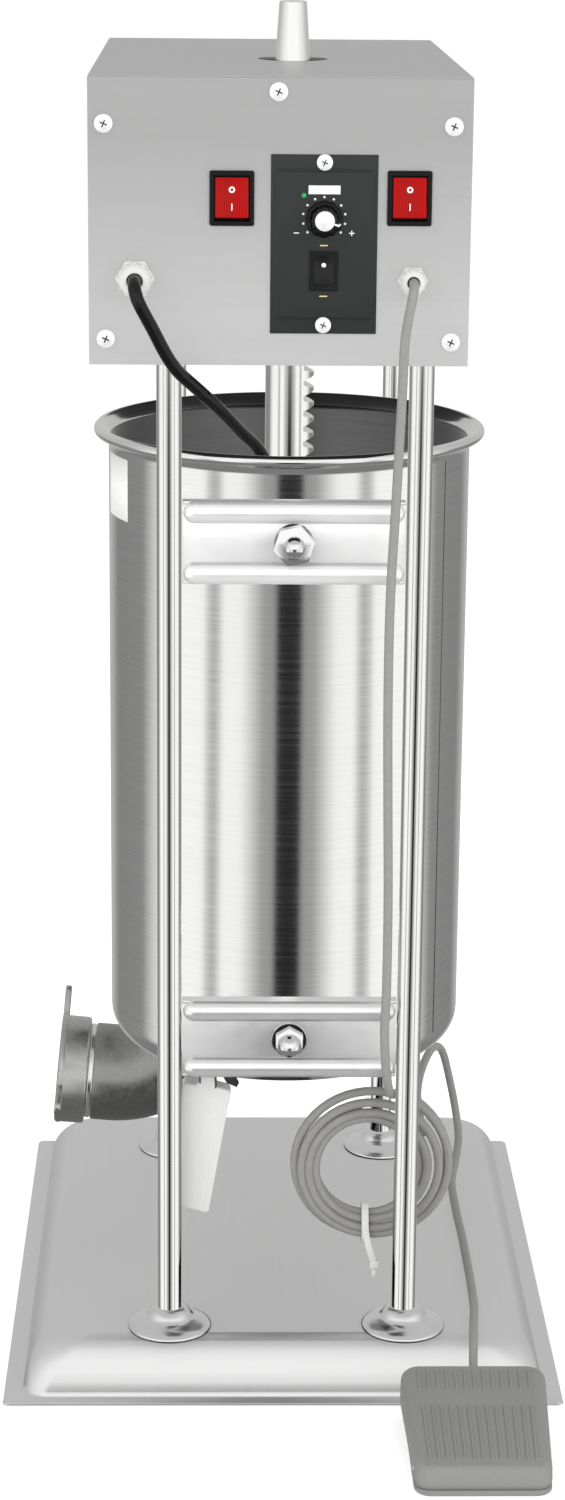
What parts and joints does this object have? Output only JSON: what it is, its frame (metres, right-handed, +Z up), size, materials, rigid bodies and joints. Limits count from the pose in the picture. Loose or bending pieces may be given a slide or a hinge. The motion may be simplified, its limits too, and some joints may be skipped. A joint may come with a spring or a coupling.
{
  "type": "sausage stuffer",
  "caption": "Vertical electric sausage stuffer: steel barrel in a post frame, rack-driven piston, gear-motor housing with speed controls, bottom spout and corded foot pedal.",
  "frame": {"origin": "where the barrel's axis meets the underside of the base", "axes": "+Z up along the barrel and the rack, the control panel faces -Y, the spout points to -X"},
  "size_m": [0.344, 0.532, 0.832],
  "materials": {
    "polished_steel": "polished stainless steel",
    "brushed_steel": "fine brushed stainless steel",
    "cast_steel": "dull investment-cast stainless steel",
    "dark_steel": "dark machined and painted steel",
    "panel_plastic": "satin dark green-grey moulding",
    "black_plastic": "satin black moulding",
    "red_lens": "glossy translucent red moulding",
    "white_plastic": "satin white moulding",
    "grey_plastic": "satin mid-grey moulding",
    "black_cord": "satin black cable sheath",
    "grey_cord": "satin grey cable sheath"
  },
  "bodies": {
    "frame": {"base_pan": "polished_steel", "post_front_left": "polished_steel", "post_front_right": "polished_steel", "post_rear_left": "polished_steel", "post_rear_right": "polished_steel", "post_flange_front_left": "polished_steel", "post_flange_front_right": "polished_steel", "post_flange_rear_left": "polished_steel", "post_flange_rear_right": "polished_steel", "crossbar_front_upper": "polished_steel", "crossbar_front_lower": "polished_steel", "crossbar_rear_upper": "polished_steel", "crossbar_rear_lower": "polished_steel", "barrel_lock_bolt_front": "polished_steel", "barrel_lock_bolt_rear": "polished_steel", "barrel_pivot_bolt_front": "polished_steel", "barrel_pivot_bolt_rear": "polished_steel", "face_screw_top": "polished_steel", "face_screw_upper_left": "polished_steel", "face_screw_upper_right": "polished_steel", "face_screw_lower_left": "polished_steel", "face_screw_lower_right": "polished_steel", "panel_screw_top": "polished_steel", "panel_screw_bottom": "polished_steel", "pedal_pin": "polished_steel", "housing_shell": "brushed_steel", "front_plate": "brushed_steel", "barrel": "brushed_steel", "spout_elbow": "cast_steel", "rack_guide": "cast_steel", "bearing_block": "cast_steel", "base_stiffener": "dark_steel", "housing_floor": "dark_steel", "gear_motor": "dark_steel", "lever_bracket": "dark_steel", "speed_controller": "panel_plastic", "left_switch_frame": "black_plastic", "right_switch_frame": "black_plastic", "mains_gland": "white_plastic", "pedal_gland": "white_plastic", "pedal_base": "grey_plastic", "mains_cord": "black_cord", "mains_cord_drop": "black_cord", "pedal_cord": "grey_cord", "pedal_cord_coil": "grey_cord", "pedal_cord_lower": "grey_cord"},
    "piston_rack": {"piston": "brushed_steel", "piston_seal": "white_plastic", "rack": "polished_steel", "mains_cord_coil": "black_cord", "mains_plug": "black_plastic"},
    "air_valve": {"air_valve": "polished_steel"},
    "pinion": {"pinion": "dark_steel"},
    "speed_knob": {"speed_knob": "black_plastic"},
    "run_rocker": {"run_rocker": "black_plastic"},
    "left_red_rocker": {"left_red_rocker": "red_lens"},
    "right_red_rocker": {"right_red_rocker": "red_lens"},
    "spout_nut": {"spout_nut": "cast_steel"},
    "grip_lever": {"grip_lever": "white_plastic"},
    "pedal_cover": {"pedal_cover": "grey_plastic"}
  },
  "joints": [
    {"name": "piston_slide", "type": "slide", "parent": "frame", "child": "piston_rack", "axis": [0, 0, 1], "range_m": [0, 0.388], "deforming": ["mains_cord_drop"]},
    {"name": "pinion_spin", "type": "hinge", "parent": "frame", "child": "pinion", "pos_m": [0.03875, 0, 0.7076], "axis": [0, 1, 0], "range_deg": [0, 826]},
    {"name": "valve_lift", "type": "slide", "parent": "piston_rack", "child": "air_valve", "axis": [0, 0, 1], "range_m": [0, 0.003]},
    {"name": "speed_knob_turn", "type": "hinge", "parent": "frame", "child": "speed_knob", "pos_m": [0.0148, -0.1588, 0.7199], "axis": [0, -1, 0], "range_deg": [-21, 237]},
    {"name": "run_rocker_tip", "type": "hinge", "parent": "frame", "child": "run_rocker", "pos_m": [0.0148, -0.1572, 0.6908], "axis": [1, 0, 0], "range_deg": [0, 20]},
    {"name": "left_red_rocker_tip", "type": "hinge", "parent": "frame", "child": "left_red_rocker", "pos_m": [-0.0369, -0.1573, 0.7308], "axis": [1, 0, 0], "range_deg": [0, 20]},
    {"name": "right_red_rocker_tip", "type": "hinge", "parent": "frame", "child": "right_red_rocker", "pos_m": [0.0625, -0.1573, 0.7313], "axis": [1, 0, 0], "range_deg": [0, 20]},
    {"name": "spout_nut_turn", "type": "hinge", "parent": "frame", "child": "spout_nut", "pos_m": [-0.137, 0, 0.15083], "axis": [-0.9962, 0, 0.0872], "continuous": true},
    {"name": "grip_lever_swing", "type": "hinge", "parent": "frame", "child": "grip_lever", "pos_m": [-0.0495, -0.127, 0.207], "axis": [0, -1, 0], "range_deg": [0, 28]},
    {"name": "pedal_press", "type": "hinge", "parent": "frame", "child": "pedal_cover", "pos_m": [0.112, -0.278, 0.0105], "axis": [-1, 0, 0], "range_deg": [0, 5], "stiffness_Nm_per_rad": 3, "springref_deg": -5.73}
  ],
  "couplings": [
    {"joint": "pinion_spin", "follows": "piston_slide", "rad_per_m": 37.037}
  ]
}
